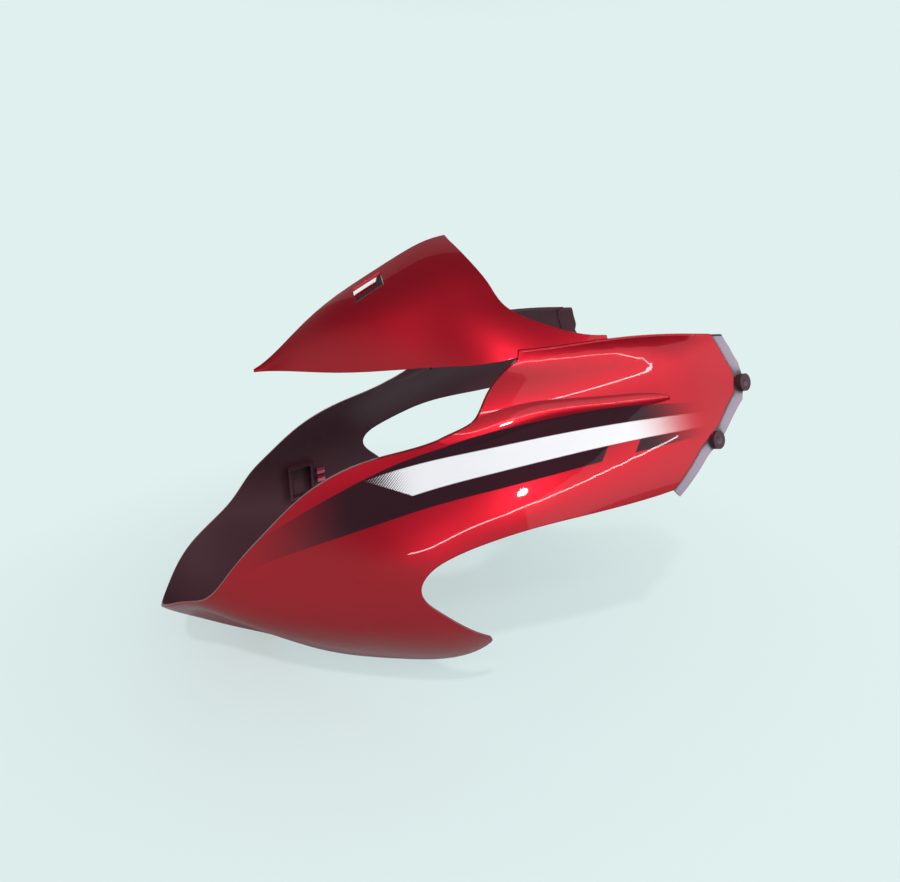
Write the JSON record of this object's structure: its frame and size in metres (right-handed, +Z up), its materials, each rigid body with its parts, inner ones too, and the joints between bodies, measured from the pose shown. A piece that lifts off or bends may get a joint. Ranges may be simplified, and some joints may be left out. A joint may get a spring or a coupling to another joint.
{
  "type": "headlight visor",
  "caption": "Painted plastic headlight visor for a motorbike: pointed hood over an open lamp bay, swept cheeks with a side notch, and a keeled chin.",
  "frame": {"origin": "centre of the bounding box, on the mirror plane of the shell", "axes": "+X to the rear of the machine, +Z up as mounted, +Y to the rider's right; the shell is mirror-symmetric about Y = 0"},
  "size_m": [0.4196, 0.3234, 0.3232],
  "materials": {
    "painted_shell": "clear-coated metallic red paint on injection-moulded plastic"
  },
  "bodies": {
    "root": {"visor_shell": "painted_shell"}
  },
  "joints": []
}
